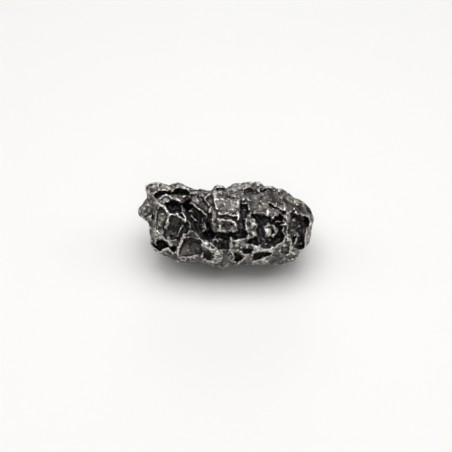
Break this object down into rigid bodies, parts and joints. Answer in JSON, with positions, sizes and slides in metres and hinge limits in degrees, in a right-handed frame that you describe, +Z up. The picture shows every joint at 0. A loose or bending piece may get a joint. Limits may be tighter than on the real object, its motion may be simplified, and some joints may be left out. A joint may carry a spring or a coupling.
{
  "type": "iron meteorite",
  "caption": "Small iron meteorite, long and rounded, its dark metal open with sockets, crests and ledges; lies on a small flat spot.",
  "frame": {"origin": "middle of the stone's box in plan, on the flat spot it lies on", "axes": "+Z up, +X along the stone towards its blunt end, -Y and up the side with the valley and the block"},
  "size_m": [0.0396, 0.0224, 0.0194],
  "materials": {
    "weathered_iron": "dark weathered nickel iron, satin, with worn bright crests, near-black hollows and faint brown and olive stains"
  },
  "bodies": {
    "root": {"meteorite": "weathered_iron"}
  },
  "joints": []
}
